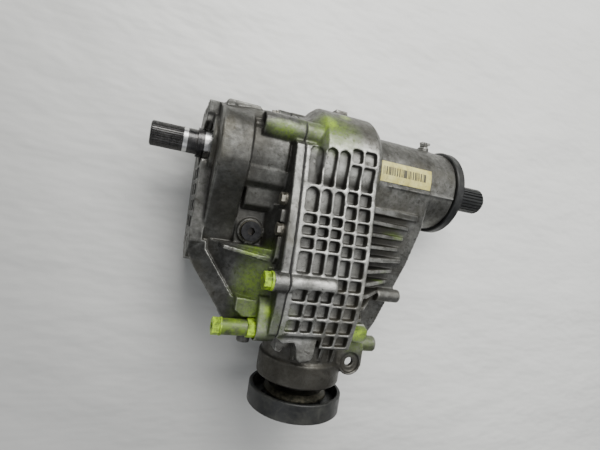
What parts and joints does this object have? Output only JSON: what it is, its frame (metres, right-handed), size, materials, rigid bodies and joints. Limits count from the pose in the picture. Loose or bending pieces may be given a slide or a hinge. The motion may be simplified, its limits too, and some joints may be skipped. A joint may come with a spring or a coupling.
{
  "type": "differential gear assembly",
  "caption": "Axle differential in a two-part ribbed casting, with a splined stub, a long splined output through a tube, and a flanged pinion at right angles.",
  "frame": {"origin": "middle of the companion flange's bolt circle, on the pinion's axis and 303.5 mm from the output shafts' axis", "axes": "X along the output shafts, +X towards the long tube and the coarse spline; -Y along the pinion towards its companion flange; +Z out of the ribbed face, up as it lies"},
  "size_m": [0.4676, 0.384, 0.163],
  "materials": {
    "casing_alloy": "sand-cast aluminium, oil-stained",
    "cover_alloy": "sand-cast aluminium, darkened by oil",
    "gasket": "pressed fibre",
    "fastener": "zinc plated, dulled",
    "marked_fastener": "zinc plated steel with yellow-green marking paint",
    "bright_steel": "ground",
    "plug_black": "black, oily",
    "seal_metal": "pressed steel, stained",
    "label": null,
    "seal_rubber": "oil-resistant rubber",
    "gear_steel": "case-hardened, ground",
    "case_iron": "cast and turned",
    "shaft_steel": "induction hardened, ground bands",
    "black_steel": "satin black coating",
    "bearing_steel": "polished",
    "cage_metal": "pressed steel"
  },
  "bodies": {
    "housing": {"main_casing": "casing_alloy", "side_cover": "cover_alloy", "cover_gasket": "gasket", "cover_screws": "fastener", "long_bolt": "marked_fastener", "bracket_stud": "marked_fastener", "spacer_sleeve": "marked_fastener", "bracket_nut": "marked_fastener", "dowel_pins": "bright_steel", "filler_plug": "plug_black", "filler_plug_washer": "seal_metal", "drain_plug": "fastener", "vent_fitting": "casing_alloy", "barcode_label": "label", "left_output_seal": "bright_steel", "right_output_seal": "seal_rubber", "pinion_seal": "seal_rubber", "left_carrier_outer_race": "bearing_steel", "right_carrier_outer_race": "bearing_steel", "pinion_head_outer_race": "bearing_steel", "pinion_tail_outer_race": "bearing_steel", "output_bearing_outer_race": "bearing_steel", "output_bearing_circlip": "fastener"},
    "carrier": {"differential_case": "case_iron", "crown_gear": "gear_steel", "crown_gear_screws": "fastener", "cross_pin": "bright_steel", "lock_pin": "bright_steel", "left_thrust_washer": "seal_metal", "right_thrust_washer": "seal_metal", "spider_washers": "seal_metal", "left_carrier_inner_race": "bearing_steel", "right_carrier_inner_race": "bearing_steel"},
    "left_output": {"left_output_shaft": "shaft_steel", "left_side_gear": "gear_steel", "left_circlip": "fastener"},
    "right_output": {"right_output_shaft": "black_steel", "right_side_gear": "gear_steel", "right_circlip": "fastener", "dust_ring": "black_steel", "output_bearing_inner_race": "bearing_steel"},
    "upper_spider": {"upper_spider_gear": "gear_steel"},
    "lower_spider": {"lower_spider_gear": "gear_steel"},
    "pinion": {"pinion_shaft": "gear_steel", "pinion_head_inner_race": "bearing_steel", "pinion_tail_inner_race": "bearing_steel", "collapsible_spacer": "bright_steel", "companion_flange": "black_steel", "dust_deflector": "seal_metal", "pinion_nut": "fastener"},
    "left_carrier_roller_set": {"left_carrier_rollers": "bearing_steel", "left_carrier_cage": "cage_metal"},
    "right_carrier_roller_set": {"right_carrier_rollers": "bearing_steel", "right_carrier_cage": "cage_metal"},
    "pinion_head_roller_set": {"pinion_head_rollers": "bearing_steel", "pinion_head_cage": "cage_metal"},
    "pinion_tail_roller_set": {"pinion_tail_rollers": "bearing_steel", "pinion_tail_cage": "cage_metal"},
    "output_bearing_ball_set": {"output_bearing_balls": "bearing_steel", "output_bearing_cage": "cage_metal"}
  },
  "joints": [
    {"name": "carrier_spin", "type": "hinge", "parent": "housing", "child": "carrier", "pos_m": [0, 0.3035, 0], "axis": [1, 0, 0], "continuous": true},
    {"name": "pinion_spin", "type": "hinge", "parent": "housing", "child": "pinion", "pos_m": [0, 0.3035, 0], "axis": [0, 1, 0], "continuous": true},
    {"name": "left_output_spin", "type": "hinge", "parent": "carrier", "child": "left_output", "pos_m": [0, 0.3035, 0], "axis": [1, 0, 0], "continuous": true},
    {"name": "right_output_spin", "type": "hinge", "parent": "carrier", "child": "right_output", "pos_m": [0, 0.3035, 0], "axis": [1, 0, 0], "continuous": true},
    {"name": "upper_spider_spin", "type": "hinge", "parent": "carrier", "child": "upper_spider", "pos_m": [0.066, 0.3035, 0], "axis": [0, 0, 1], "continuous": true},
    {"name": "lower_spider_spin", "type": "hinge", "parent": "carrier", "child": "lower_spider", "pos_m": [0.066, 0.3035, 0], "axis": [0, 0, 1], "continuous": true},
    {"name": "left_carrier_roller_spin", "type": "hinge", "parent": "housing", "child": "left_carrier_roller_set", "pos_m": [0, 0.3035, 0], "axis": [1, 0, 0], "continuous": true},
    {"name": "right_carrier_roller_spin", "type": "hinge", "parent": "housing", "child": "right_carrier_roller_set", "pos_m": [0, 0.3035, 0], "axis": [1, 0, 0], "continuous": true},
    {"name": "pinion_head_roller_spin", "type": "hinge", "parent": "housing", "child": "pinion_head_roller_set", "pos_m": [0, 0.3035, 0], "axis": [0, 1, 0], "continuous": true},
    {"name": "pinion_tail_roller_spin", "type": "hinge", "parent": "housing", "child": "pinion_tail_roller_set", "pos_m": [0, 0.3035, 0], "axis": [0, 1, 0], "continuous": true},
    {"name": "output_ball_spin", "type": "hinge", "parent": "housing", "child": "output_bearing_ball_set", "pos_m": [0, 0.3035, 0], "axis": [1, 0, 0], "continuous": true}
  ],
  "couplings": [
    {"joint": "pinion_spin", "follows": "carrier_spin", "ratio": 3.3636},
    {"joint": "right_output_spin", "follows": "left_output_spin", "ratio": -1},
    {"joint": "upper_spider_spin", "follows": "left_output_spin", "ratio": 1.4},
    {"joint": "lower_spider_spin", "follows": "left_output_spin", "ratio": -1.4},
    {"joint": "left_carrier_roller_spin", "follows": "carrier_spin", "ratio": 0.42044},
    {"joint": "right_carrier_roller_spin", "follows": "carrier_spin", "ratio": 0.42044},
    {"joint": "pinion_head_roller_spin", "follows": "carrier_spin", "ratio": 1.4142},
    {"joint": "pinion_tail_roller_spin", "follows": "carrier_spin", "ratio": 1.4142},
    {"joint": "output_ball_spin", "follows": "carrier_spin", "ratio": 0.40833}
  ]
}
